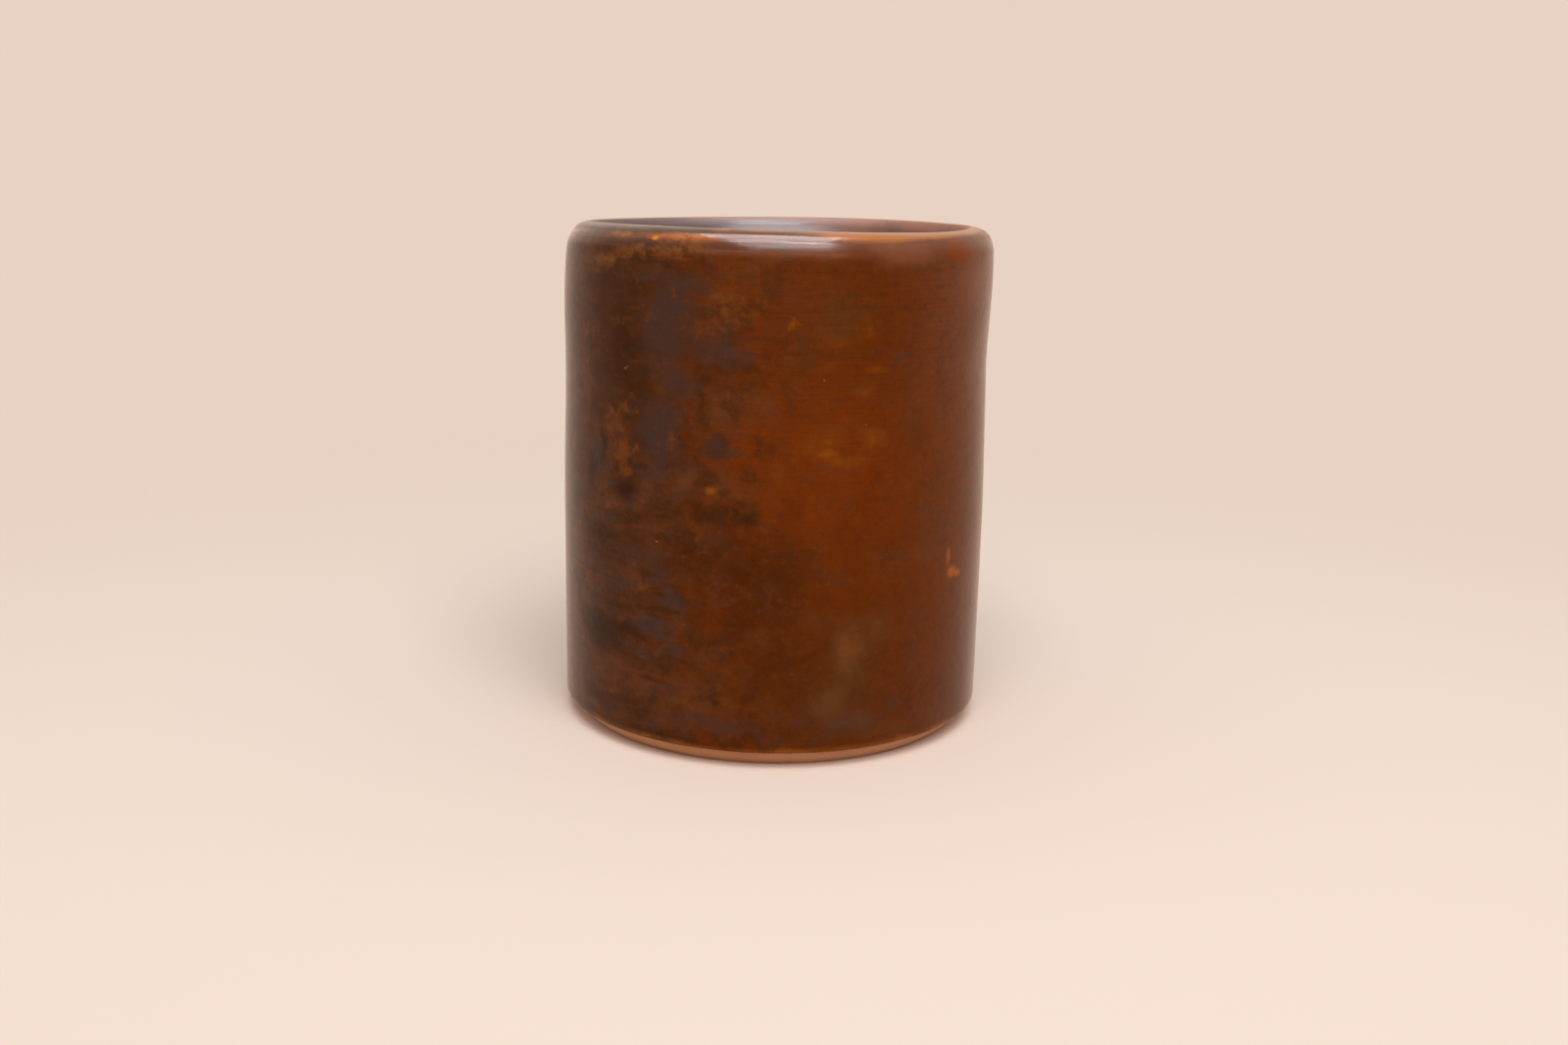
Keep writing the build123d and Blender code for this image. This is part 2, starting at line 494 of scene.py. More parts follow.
# Marks in the outer glaze, seen from the front: angle in degrees, then height, half width and
# half height in millimetres, then strength
FIERY_MARKS = ((12, 53, 30, 20, 1.0),)
DEEP_MARKS = (
    (-4, 32, 14, 15, 1.0),
    (-12, 40, 9, 10, 0.8),
    (2, 20, 12, 12, 0.8),
    (-18, 26, 9, 9, 0.5),
    (-7, 25, 7, 6, 1.0),
)
OLIVE_MARKS = (
    (20, 18, 9, 13, 1.0),
    (15, 12, 8, 10, 0.9),
    (27, 24, 8, 8, 0.7),
    (12, 25, 7, 7, 0.5),
    (15, 77, 6, 8, 0.9),
    (22, 78, 8, 6, 0.6),
    (6, 71, 10, 5, 0.4),
    (34, 86, 9, 4, 0.8),
    (34, 60, 10, 12, 0.4),
)
RUDDY_MARKS = (
    (-34, 13, 16, 7, 1.0),
    (-17, 12, 8, 7, 0.9),
    (-35, 31.5, 7, 5, 1.1),
    (-33, 24, 6, 5, 0.9),
    (-33, 18, 7, 5, 0.8),
    (-60, 30, 9, 16, 0.9),
    (-60, 62, 8, 9, 0.8),
    (-60, 46, 7, 8, 0.6),
    (-28, 43, 9, 5, 0.7),
    (-26, 24, 9, 7, 0.5),
    (-13, 48, 5, 4, 0.8),
    (-14, 62, 8, 8, 0.9),
    (-15, 77, 7, 7, 0.9),
    (-21, 50, 5, 4, 0.9),
    (-13, 51, 5, 3, 0.7),
    (-25.5, 56, 3.4, 3.0, 1.2),
    (46, 42, 10, 10, 0.6),
    (50, 6, 14, 6, 0.9),
    (34, 5.5, 12, 4, 0.7),
)
# Slate patches: the glaze's own slate, and a painted reflection where they stand tall at -24 to -31
# degrees
SLATE_AND_SHEEN_MARKS = (
    (-28, 74, 9, 17, 1.0),
    (-24, 66, 6, 9, 0.8),
    (-31, 57, 7, 12, 1.2),
    (-23, 50, 4, 5, 0.5),
    (-24, 82, 14, 4.5, 0.7),
    (-52, 51, 6, 8, 0.9),
    (-56, 76, 4, 9, 0.5),
    (-14, 71.5, 9, 4.4, 0.85),
    (-14.5, 55.6, 5.0, 3.6, 0.55),
    (-10, 54.8, 5.0, 3.2, 0.55),
    (-25, 54, 4, 4.6, 0.7),
    (-33, 36, 7.5, 3.4, 0.8),
    (-25, 29.5, 3.0, 2.8, 0.8),
    (-33, 23, 7, 2.4, 0.9),
    (-25, 20.3, 4.6, 2.6, 0.6),
    (-12, 8, 12, 5, 0.7),
    (20, 8.5, 16, 5, 0.6),
    (-2, 82, 9, 3, 0.35),
    (38, 70, 12, 1.2, 0.5),
)
DARK_MARKS = (
    (-44, 71, 9, 15, 1.0),
    (-38, 66, 5, 14, 1.0),
    (-49, 81, 9, 5, 0.8),
    (-50, 20.6, 9, 4.8, 2.0),
    (-40, 21.8, 9, 3.0, 1.3),
    (-50, 37, 10, 6.5, 0.8),
    (-44, 27, 12, 6, 0.5),
    (-40, 47, 4.6, 4.0, 0.8),
    (-19, 63, 2.2, 5.4, 0.8),
    (-22, 38, 3.4, 6, 0.7),
    (-15, 44.4, 7, 3.0, 1.0),
    (-7, 44, 5, 3.4, 1.0),
    (-2, 42.5, 5, 3.0, 0.4),
    (-8, 68.5, 6, 2.6, 0.8),
    (-16, 66.5, 5, 3.4, 0.8),
    (-14, 55.4, 4.6, 3.0, 0.85),
    (-9.5, 54.6, 4.0, 2.6, 0.6),
    (-16, 34, 6, 5, 0.4),
)
BLACK_MARKS = (
    (-51, 20.5, 7.5, 4.2, 1.1),
    (-41, 21.8, 7.0, 2.4, 0.7),
    (-49, 54, 1.6, 7.0, 0.9),
    (-54, 49, 3.4, 6.0, 0.8),
    (-40, 46.5, 3.6, 2.6, 0.9),
    (-50, 38, 7.0, 3.4, 0.8),
    (-41, 70, 4.0, 9.0, 0.6),
    (-22, 38, 2.4, 3.6, 0.4),
    (-8, 43.5, 3.6, 2.2, 0.4),
    (-30, 84.5, 7.0, 0.8, 0.6),
)
AMBER_MARKS = (
    (-45, 58.8, 4.2, 2.6, 0.8),
    (-46, 55.6, 3.4, 2.4, 0.7),
    (-41, 52.6, 4.6, 3.6, 1.1),
    (-40.6, 49.8, 3.4, 2.4, 1.0),
    (-41, 60.5, 3.4, 3.0, 0.6),
    (-47, 44, 4.0, 2.6, 0.7),
    (-43, 75, 4.4, 1.2, 0.6),
    (-35, 77, 6, 0.8, 0.5),
    (-56, 71.5, 4, 3, 0.7),
    (-54, 42, 5, 3, 0.5),
    (-25.5, 56, 2.4, 2.2, 0.6),
    (-13, 80, 2.6, 2.6, 0.8),
    (-9, 79.5, 6.6, 6.0, 0.5),
    (-15.6, 48.0, 3.0, 2.0, 0.9),
    (-21, 88.0, 6, 1.5, 0.9),
    (-29, 87.8, 6, 1.3, 0.7),
    (-20, 75, 5, 3.0, 0.5),
    (-10, 84, 5, 2.0, 0.5),
    (-13, 77.5, 6, 4.0, 0.6),
    (-35.5, 30, 4, 3, 0.7),
    (-45, 44, 5, 3, 0.4),
    (-57, 84, 6, 1.2, 0.5),
)
HONEY_MARKS = (
    (13.5, 54.8, 3.6, 2.0, 0.9),
    (17, 53.6, 5.0, 1.8, 0.6),
    (13, 56.0, 6.5, 4.0, 0.55),
    (25, 56.8, 4.4, 3.4, 0.65),
    (22, 64.5, 4.0, 5.0, 0.4),
    (24, 68.0, 4.4, 1.6, 0.6),
    (12, 69.0, 5.0, 2.0, 0.4),
    (22, 74.5, 3.4, 4.0, 0.5),
    (14, 72.5, 4.0, 3.0, 0.5),
    (3.8, 75.8, 1.2, 1.8, 0.9),
    (2, 51, 6.0, 5.0, 0.3),
    (19.5, 21.5, 3.2, 4.6, 0.45),
    (26, 24.0, 3.0, 3.4, 0.35),
    (-21, 39.5, 1.6, 1.2, 0.7),
    (-35.5, 30, 1.6, 1.4, 0.6),
    (-44, 57, 3.0, 3.4, 0.4),
)
# Painted reflection: a pale pink sheen on the shoulder and down the right side
PINK_SHEEN_MARKS = (
    (32, 87.2, 12, 3.2, 1.15),
    (10, 87.2, 15, 2.4, 0.6),
    (60, 82, 9, 7, 1.0),
    (63, 68, 6, 9, 0.6),
)
# Milky patches, mostly low on the right: partly the glaze's own milky tone, partly painted reflection
MILKY_AND_SHEEN_MARKS = (
    (19.5, 21, 4.6, 8, 0.9),
    (15.5, 12, 5.0, 8, 0.7),
    (23, 9, 7.0, 5, 0.5),
    (26.5, 25.5, 5.0, 4, 0.6),
    (10, 26, 5.0, 3, 0.35),
    (40, 36, 6.0, 3, 0.4),
    (-13, 49, 5.0, 3, 0.3),
)
ORANGE_MARKS = (
    (53.6, 31.6, 2.6, 1.7, 1.1),
    (56.4, 31.0, 2.0, 1.2, 1.0),
    (51.6, 34.6, 1.4, 3.2, 0.7),
    (-15.6, 48.1, 1.8, 1.3, 0.6),
    (-25.5, 56.2, 1.0, 0.8, 0.4),
)
EMBER_MARKS = (
    (50, 87.2, 4.6, 2.8, 1.4),
    (54, 86.5, 4.2, 2.6, 1.0),
)
LIP_MARKS = (
    (-21, 89.5, 9, 9, 1.1),
    (-31, 89.5, 9, 9, 0.54),
    (-43, 89.5, 10, 9, 0.42),
    (-6, 89.5, 14, 9, 0.5),
    (12, 89.5, 12, 9, 0.55),
    (26, 89.5, 17, 9, 1.4),
    (46, 89.5, 15, 9, 1.2),
    (68, 89.5, 13, 9, 0.9),
    (88, 89.5, 12, 9, 0.8),
    (118, 89.5, 13, 9, 1.0),
    (157, 89.5, 14, 9, 0.9),
    (-85, 89.5, 12, 9, 0.8),
    (-128, 89.5, 16, 9, 1.1),
)
SPECK_MARKS = (
    (-40.6, 67.0, 0.55, 0.20, 1.0),
    (-39.8, 67.3, 0.35, 0.18, 0.8),
    (-30.0, 38.5, 0.45, 0.3, 0.7),
    (11.6, 66.8, 0.3, 0.3, 0.6),
    (22.6, 59.4, 0.3, 0.3, 0.5),
)
DOT_MARKS = ((-32, 88.6, 1.1, 0.6, 1.3),)

# Noises in the outer glaze: height of a lump, detail, roughness, length along the turning, shift
GLAZE_NOISES = (
    ("grain", 1.1 * MM, 4, 0.7, 1.5, 0.0),
    ("brush", 0.4 * MM, 4, 0.6, 26, 0.0),
    ("mottle", 6 * MM, 4, 0.6, 1, 2.6),
    ("blot", 3.2 * MM, 4, 0.6, 1.4, 6.1),
    ("smoke", 4.4 * MM, 4, 0.62, 1, 9.3),
    ("cloud", 21 * MM, 3, 0.55, 1, 1.3),
    ("streak", 2.0 * MM, 4, 0.6, 5, 5.3),
    ("wisp", 2.6 * MM, 4, 0.6, 4, 3.4),
    ("flake", 1.5 * MM, 3, 0.65, 1, 1.9),
    ("fleck", 5 * MM, 3, 0.6, 1, 7.7),
    ("brown_patch", 13 * MM, 4, 0.6, 1, 4.2),
    ("slate_patch", 16 * MM, 4, 0.55, 1, 8.4),
    ("ridges", 1.6 * MM, 2, 0.55, 30, 2.0),
)
TEAR_SIZE = 5 * MM
TEAR_REACH = (8 * MM, 5 * MM, 0)

# Where the outer glaze goes from one look to another: angles in degrees, and heights
BACK = (70, 105)
REDDER_SIDE = (22, 56)
PLAINER_SIDE = (22, 44)
SMOOTHER_SIDE = (18, 44)
DULLER_SIDE = (36, 48)
THICKER_SIDE = (-36, -6)
SMOKY_SIDE = (-10, 14)
STREAKED_SIDE = (-12, -30)
# Heights over which a painted reflection turns the red-brown on the right pinker
ROSY_SHEEN_HEIGHTS = (44 * MM, 78 * MM)
UMBER_HEIGHTS = (4 * MM, 34 * MM)
STREAK_HEIGHTS = (40 * MM, 62 * MM)
LINED_HEIGHTS = (50 * MM, 72 * MM)
PULLED_HEIGHTS = (86.2 * MM, 88.4 * MM)

# The tide line under the lip sags from its right end towards the left
TIDE_HEIGHT = 87.3 * MM
TIDE_SAG = 3.3 * MM
TIDE_START = -14
TIDE_SPREAD = 37
TIDE_RIGHT_END = (-12, -24)
TIDE_LEFT_END = (-62, -48)
TIDE_EDGE = (-0.3 * MM, 1.9 * MM)
TIDE_BRUSHING = 1.2 * MM
TIDE_STREAKING = 5 * MM
TIDE_RAGGING = 1.2 * MM

# The orange on the lip, with its distances measured outwards from the crest: a band on the right
# and in front, and a thin ring on the left with a shadow inside it
BAND_SIDE = (-20, -12)
BAND_WIDENS = (2, 15)
BAND_REACH = (2.2 * MM, 3.4 * MM)
BAND_NARROWS = (28, 50)
BAND_NARROWING = -0.5 * MM
BAND_FADE = 1.2 * MM
BAND_RAGGING = 0.9 * MM
BAND_LIT_REACH = 0.4 * MM
BAND_END_HEIGHTS = (85 * MM, 88 * MM)
BELOW_BAND = 9 * MM
PALE_PLACE = (2.6 * MM, 1.2 * MM)
RING_PLACE = 3.1 * MM
RING_WIDTH = 0.8 * MM
RING_RAGGING = 0.5 * MM
RING_HEIGHTS = (85 * MM, 87 * MM)
SHADOW_START = (1.2 * MM, 2.0 * MM)
SHADOW_END = (2.4 * MM, 2.9 * MM)
SHADOW_HEIGHTS = (86 * MM, 88 * MM)
LOWER_EDGE = (BEVEL_HEIGHT + 0.2 * MM, BEVEL_HEIGHT + 1.4 * MM)
LOWER_EDGE_WANDER = 2.0 * MM

AMBER_BROWN = (0.118, 0.0188, 0.0001, 1)
FIERY_BROWN = (0.144, 0.0212, 0.0001, 1)
RED_BROWN = (0.132, 0.0262, 0.0016, 1)
# A painted reflection: the red-brown made pinker and greyer higher up on the right
ROSY_SHEEN_BROWN = (0.152, 0.0385, 0.0105, 1)
EMBER = (0.190, 0.0290, 0.0003, 1)
AMBER_GLINT = (0.162, 0.0410, 0.0036, 1)
LIP_ORANGE = (0.470, 0.1300, 0.0170, 1)
SPOT_ORANGE = (0.400, 0.0980, 0.0004, 1)
DEEP_BROWN = (0.070, 0.0114, 0.0003, 1)
OLIVE_BROWN = (0.098, 0.0300, 0.0055, 1)
RUDDY_BROWN = (0.112, 0.0305, 0.0085, 1)
# Pink-brown of a painted sheen
PINK_SHEEN = (0.195, 0.0600, 0.0260, 1)
UMBER = (0.066, 0.0175, 0.0040, 1)
DARK_BROWN = (0.043, 0.0112, 0.0022, 1)
BLACK_BROWN = (0.028, 0.0062, 0.0012, 1)
# Slate grey: the glaze's own, and the colour of a painted reflection on the left
SLATE_AND_SHEEN = (0.052, 0.0264, 0.0208, 1)
OCHRE = (0.180, 0.0560, 0.0110, 1)
HONEY = (0.250, 0.0600, 0.0006, 1)
# Milky brown: the glaze's own, and partly a painted reflection
MILKY_BROWN_AND_SHEEN = (0.128, 0.0430, 0.0140, 1)
BREAK_ORANGE = (0.380, 0.1150, 0.0160, 1)
PALE_ORANGE = (0.470, 0.1680, 0.0500, 1)
DOT_ORANGE = (0.600, 0.1750, 0.0120, 1)
SPECK_PALE = (0.380, 0.2400, 0.1900, 1)

# The gloss: weak and warm on the wall, a clear coat on the shoulder, a soft sheen down the sides
SPECULAR_LEVEL = 0.09
SPECULAR_TINT = (1.0, 0.75, 0.36, 1)
SHOULDER_COAT = 0.8
COAT_ROUGHNESS = 0.17
RIM_SHEEN = 0.45
RIM_ROUGHNESS = 0.28
RIM_TINT = (1.0, 0.74, 0.56, 1)
GLAZE_RELIEF = 0.12 * MM


def dab(r, at, colour, over, marks, tear, low, high, cover=1.0, crisp=False):
    """Marks of one colour over another, as ragged as tear makes them unless they are crisp."""
    amount = daubs(r, at.place if crisp else at.ragged, marks)
    if tear:
        amount = r.maths("MULTIPLY_ADD", at.uneven, tear, amount)
    return r.paint(r.rise(amount, low, high, 0.0, cover), colour, over)


def strew(r, colour, over, noise, low, high, cover, *where):
    """One colour over another as a noise goes from low to high, as much as cover times where."""
    return r.paint(r.times(r.rise(noise, low, high, 0.0, cover), *where), colour, over)


def glaze_place(r):
    """A point of the outer glaze: where it is, and the noises there that the patterns share."""
    at = surface_place(r)
    across = r.times(at.angle, BELLY_RADIUS)
    at.place = r.put("ShaderNodeCombineXYZ", {"X": across, "Y": at.height}).outputs[0]
    at.side = folded(r, at.angle)
    at.back = r.sweep(r.maths("ABSOLUTE", at.angle), *BACK)
    for name, *kind in GLAZE_NOISES:
        setattr(at, name, r.noise(at.spot, *kind))
    at.uneven = r.maths("MULTIPLY_ADD", at.grain, 0.5, r.maths("MULTIPLY_ADD", at.blot, 1.3, -0.9))

    # Marks are looked up a little off their true place, so that their edges are ragged
    tear = r.noise(at.spot, TEAR_SIZE, 4, 0.6, output="Color")
    tear = r.vector("SUBTRACT", tear, (0.5, 0.5, 0.5))
    at.ragged = r.vector("ADD", at.place, r.vector("MULTIPLY", tear, TEAR_REACH))

    # The coat is thicker on the left, and in patches behind
    drift = r.maths("MULTIPLY_ADD", at.mottle, 0.9, r.maths("SUBTRACT", at.angle, 0.45))
    left = r.sweep(drift, *THICKER_SIDE, 1.0, 0.0)
    behind = r.rise(r.maths("MULTIPLY_ADD", at.mottle, 0.5, at.cloud), 0.68, 0.84)
    at.thick = r.maths("MULTIPLY_ADD", at.back, r.maths("SUBTRACT", behind, left), left)
    return at


def ground_colour(r, at):
    """Amber in front, fiery in its middle, redder to the right, deeper and more olive low down."""
    colour = dab(r, at, AMBER_BROWN, FIERY_BROWN, FIERY_MARKS, 0.0, 0.0, 0.8)
    # Higher up on the right, a painted reflection turns the red-brown pinker and greyer
    red_with_sheen = r.paint(r.rise(at.height, *ROSY_SHEEN_HEIGHTS), RED_BROWN, ROSY_SHEEN_BROWN)
    colour = r.paint(r.sweep(at.side, *REDDER_SIDE), colour, red_with_sheen)
    colour = dab(r, at, colour, DEEP_BROWN, DEEP_MARKS, 0.5, 0.0, 0.8)
    colour = dab(r, at, colour, OLIVE_BROWN, OLIVE_MARKS, 0.4, 0.1, 0.9, 0.85)

    # Umber to the left, where the coat is thicker, and darker low down
    low = r.rise(at.height, *UMBER_HEIGHTS, 0.6, 0.0)
    low = r.times(low, r.rise(at.cloud, 0.3, 0.7, 0.3, 1.0))
    colour = r.paint(r.maths("MAXIMUM", r.times(at.thick, 0.9), low), colour, UMBER)
    return dab(r, at, colour, RUDDY_BROWN, RUDDY_MARKS, 0.5, 0.1, 0.9, 0.85)


def mottles(r, at, colour):
    """Mottles and smoky patches, streaks along the turning, fine turning lines and a grain."""
    smoky = r.sweep(at.side, *SMOKY_SIDE, 0.75, 0.16)
    colour = strew(r, colour, DARK_BROWN, at.smoke, 0.48, 0.68, 1.0, smoky)
    colour = strew(r, colour, RUDDY_BROWN, at.smoke, 0.50, 0.32, 0.6, smoky)
    mottled = r.maths("MULTIPLY_ADD", at.thick, 0.4, 0.14)
    colour = strew(r, colour, DARK_BROWN, at.mottle, 0.50, 0.70, 1.0, mottled)
    colour = strew(r, colour, OCHRE, at.mottle, 0.48, 0.30, 0.6, mottled)
    colour = strew(r, colour, SLATE_AND_SHEEN, at.blot, 0.50, 0.70, 1.0, mottled)

    # The streaks are on the left, and strongest low down
    streaked = r.sweep(at.side, *STREAKED_SIDE)
    streaked = r.times(streaked, r.rise(at.height, *STREAK_HEIGHTS, 0.75, 0.4))
    colour = strew(r, colour, DARK_BROWN, at.streak, 0.50, 0.66, 1.0, streaked)
    colour = strew(r, colour, RUDDY_BROWN, at.streak, 0.48, 0.34, 0.7, streaked)
    colour = strew(r, colour, SLATE_AND_SHEEN, at.wisp, 0.52, 0.68, 1.0, streaked)

    # The turning lines are mostly near the top, and the grain is as fine as pores
    lined = r.rise(at.height, *LINED_HEIGHTS, 0.2, 0.5)
    lined = r.times(lined, r.sweep(at.side, *PLAINER_SIDE, 1.0, 0.45))
    colour = strew(r, colour, UMBER, at.brush, 0.42, 0.68, 1.0, lined)
    colour = strew(r, colour, DARK_BROWN, at.grain, 0.50, 0.74, 0.40)
    return strew(r, colour, OCHRE, at.grain, 0.48, 0.28, 0.16)


def patches(r, at, colour):
    """Dark brown and slate patches: placed in front, strewn behind; some slate is painted reflection."""
    kinds = (
        (DARK_BROWN, DARK_MARKS, at.brown_patch, 1.0, 0.85),
        (SLATE_AND_SHEEN, SLATE_AND_SHEEN_MARKS, at.slate_patch, 0.9, 0.75),
    )
    for over, marks, patch, tear, cover in kinds:
        behind = r.times(r.rise(patch, 0.5, 0.75), at.back)
        amount = r.maths("MAXIMUM", daubs(r, at.ragged, marks), behind)
        amount = r.maths("MULTIPLY_ADD", at.uneven, tear, amount)
        colour = r.paint(r.rise(amount, 0.1, 0.9, 0.0, cover), colour, over)
    return dab(r, at, colour, BLACK_BROWN, BLACK_MARKS, 0.8, 0.05, 0.9, 0.8)


def tide_line(r, at):
    """A line under the lip on the left: a curve with soft, broken edges."""
    slope = -1 / math.radians(TIDE_SPREAD)
    left = r.maths("MULTIPLY_ADD", at.angle, slope, TIDE_START / TIDE_SPREAD)
    left = r.maths("POWER", r.maths("MAXIMUM", left, 0.0), 2.0)
    level = r.maths("MULTIPLY_ADD", left, -TIDE_SAG, TIDE_HEIGHT)
    ragged_height = r.put("ShaderNodeSeparateXYZ", {0: at.ragged}).outputs["Y"]
    wandering = r.maths("MULTIPLY_ADD", ragged_height, 0.4, r.times(at.height, 0.6))
    off = r.maths("ABSOLUTE", r.maths("SUBTRACT", wandering, level))
    off = r.maths("MULTIPLY_ADD", r.maths("SUBTRACT", at.brush, 0.5), TIDE_BRUSHING, off)
    off = r.maths("MULTIPLY_ADD", r.maths("SUBTRACT", at.streak, 0.5), TIDE_STREAKING, off)
    off = r.maths("MULTIPLY_ADD", at.uneven, -TIDE_RAGGING, off)
    line = r.rise(off, *TIDE_EDGE, 0.95, 0.0)
    broken = r.rise(at.flake, 0.38, 0.60, 0.15, 1.0)
    ends = r.times(r.sweep(at.angle, *TIDE_LEFT_END), r.sweep(at.angle, *TIDE_RIGHT_END))
    return r.times(line, broken, ends)


def thin_spots_and_sheen(r, at, colour):
    """Ochre and honey where the glaze is thin, a few orange and pale spots, and painted sheen."""
    flecks = r.rise(at.fleck, 0.60, 0.80, 0.0, 0.12)
    colour = r.paint(r.maths("MAXIMUM", tide_line(r, at), flecks), colour, OCHRE)
    flaky = r.maths("SUBTRACT", at.flake, 0.5)
    amber = r.maths("MULTIPLY_ADD", flaky, 2.4, daubs(r, at.ragged, AMBER_MARKS))
    amber = r.maths("MULTIPLY_ADD", at.uneven, 0.5, amber)
    colour = r.paint(r.rise(amber, 0.15, 1.0, 0.0, 0.7), colour, AMBER_GLINT)
    # Painted reflection: pink sheen on the shoulder and the right; the milky patches are partly painted
    # reflection
    colour = dab(r, at, colour, PINK_SHEEN, PINK_SHEEN_MARKS, 0.3, 0.0, 1.0, 0.8)
    colour = dab(r, at, colour, MILKY_BROWN_AND_SHEEN, MILKY_AND_SHEEN_MARKS, 0.5, 0.0, 1.0, 0.8)
    colour = dab(r, at, colour, HONEY, HONEY_MARKS, 0.7, 0.05, 1.15, 0.75)
    colour = dab(r, at, colour, SPOT_ORANGE, ORANGE_MARKS, 0.3, 0.1, 0.9, 0.7, crisp=True)
    colour = dab(r, at, colour, EMBER, EMBER_MARKS, 0.4, 0.1, 0.9, 0.85)
    return dab(r, at, colour, SPECK_PALE, SPECK_MARKS, 0.0, 0.1, 0.7, 0.4, crisp=True)


def broken_edges(r, at, colour):
    """The glaze breaks orange on the lip and along its lower edge."""
    out = r.maths("SUBTRACT", at.radius, CREST_RADIUS)
    lit = r.maths("MULTIPLY_ADD", at.uneven, 0.5, daubs(r, at.place, LIP_MARKS))
    banded = r.sweep(at.side, *BAND_SIDE)

    reach = r.sweep(at.side, *BAND_WIDENS, *BAND_REACH)
    reach = r.maths("ADD", reach, r.sweep(at.side, *BAND_NARROWS, 0.0, BAND_NARROWING))
    fringe = r.maths("MULTIPLY_ADD", at.uneven, BAND_RAGGING, out)
    fringe = r.maths("MULTIPLY_ADD", r.rise(lit, 0.7, 1.3), -BAND_LIT_REACH, fringe)
    fringe = r.maths("ADD", fringe, r.rise(at.height, *BAND_END_HEIGHTS, BELOW_BAND, 0.0))
    band = r.rise(r.maths("SUBTRACT", fringe, reach), -BAND_FADE, 0.0, 0.9, 0.0)

    ring = r.maths("SUBTRACT", r.maths("MULTIPLY_ADD", at.uneven, RING_RAGGING, out), RING_PLACE)
    ring = r.rise(r.maths("ABSOLUTE", ring), 0.0, RING_WIDTH, 0.9, 0.0)
    ring = r.times(ring, r.rise(at.height, *RING_HEIGHTS), r.rise(at.flake, 0.34, 0.56, 0.45, 1.0))
    shadow = r.times(r.rise(out, *SHADOW_START), r.rise(out, *SHADOW_END, 0.8, 0.0))
    shadow = r.times(shadow, r.rise(banded, 0.0, 1.0, 1.0, 0.0))
    shadow = r.times(shadow, r.rise(at.height, *SHADOW_HEIGHTS))
    colour = r.paint(shadow, colour, DARK_BROWN)

    wander = r.maths("SUBTRACT", at.mottle, 0.5)
    above = r.maths("MULTIPLY_ADD", wander, LOWER_EDGE_WANDER, at.height)
    lower = r.times(r.rise(above, *LOWER_EDGE, 0.45, 0.0), r.rise(at.blot, 0.34, 0.6, 0.4, 1.0))
    colour = r.paint(lower, colour, BREAK_ORANGE)

    upper = r.maths("MULTIPLY_ADD", banded, r.maths("SUBTRACT", band, ring), ring)
    orange = r.paint(r.times(banded, r.rise(out, *PALE_PLACE)), LIP_ORANGE, PALE_ORANGE)
    colour = r.paint(r.times(r.rise(lit, 0.05, 0.7), upper), colour, orange)
    return dab(r, at, colour, DOT_ORANGE, DOT_MARKS, 0.0, 0.1, 1.0, crisp=True)


def outer_glaze_finish():
    """Glossy iron-brown glaze: amber in front, dark brushed mottles, orange where it runs thin."""
    finish, r = new_finish("outer_glaze_finish")
    at = glaze_place(r)
    colour = ground_colour(r, at)
    for pattern in (mottles, patches, thin_spots_and_sheen, broken_edges):
        colour = pattern(r, at, colour)

    relief = r.maths("MULTIPLY_ADD", at.brush, 0.25, r.times(at.grain, 0.5))
    ridged = r.sweep(at.side, *SMOOTHER_SIDE, 0.6, 0.2)
    relief = r.maths("MULTIPLY_ADD", at.ridges, ridged, relief)
    relief = r.maths("MULTIPLY_ADD", at.blot, 2.0, relief)
    normal = r.bump(relief, 0.3, GLAZE_RELIEF)

    # The gloss is strongest where the coat pulls over the shoulder
    pulled = r.rise(at.height, *PULLED_HEIGHTS, 0.0, SHOULDER_COAT)
    pulled = r.times(pulled, r.sweep(at.side, *DULLER_SIDE, 1.0, 0.5))
    pulled = r.times(pulled, r.rise(at.brush, 0.40, 0.60, 0.72, 1.15))
    pulled = r.times(pulled, r.rise(at.ridges, 0.40, 0.60, 0.80, 1.15))
    close_finish(
        r,
        colour,
        r.maths("MULTIPLY_ADD", at.grain, 0.12, 0.26),
        normal,
        SPECULAR_LEVEL,
        specular_tint=SPECULAR_TINT,
        coat_weight=pulled,
        coat_roughness=COAT_ROUGHNESS,
        coat_normal=normal,
        sheen_weight=RIM_SHEEN,
        sheen_roughness=RIM_ROUGHNESS,
        sheen_tint=RIM_TINT,
    )
    return finish


# The liner's umber and red: the glaze's own colours, made lighter to paint the light inside the cup
LINER_UMBER_PAINTED_LIGHTER = (0.090, 0.0430, 0.0340, 1)
LINER_RED = (0.270, 0.0840, 0.0270, 1)
LINER_DEEP = (0.050, 0.0200, 0.0120, 1)
LINER_CLOUD = 14 * MM
LINER_GRAIN = 2.4 * MM
LINER_RELIEF = 0.1 * MM
LINER_RED_SIDE = (-0.1 * CAVITY_RADIUS, 0.7 * CAVITY_RADIUS)
LINER_DARK_HEIGHTS = (0.5 * CUP_HEIGHT, 0.95 * CUP_HEIGHT)
LINER_LIP = (CREST_RADIUS - 1.2 * MM, CREST_RADIUS)
LINER_ROUGHER_HEIGHTS = (LIP_HEIGHT - 1.2 * MM, LIP_HEIGHT + 0.2 * MM)
POOL_MIDDLE = -1.0 * MM
POOL_WIDTHS = (4 * MM, 15 * MM)
POOL_HEIGHTS = (LIP_HEIGHT + 0.2 * MM, LIP_HEIGHT + 1.3 * MM)


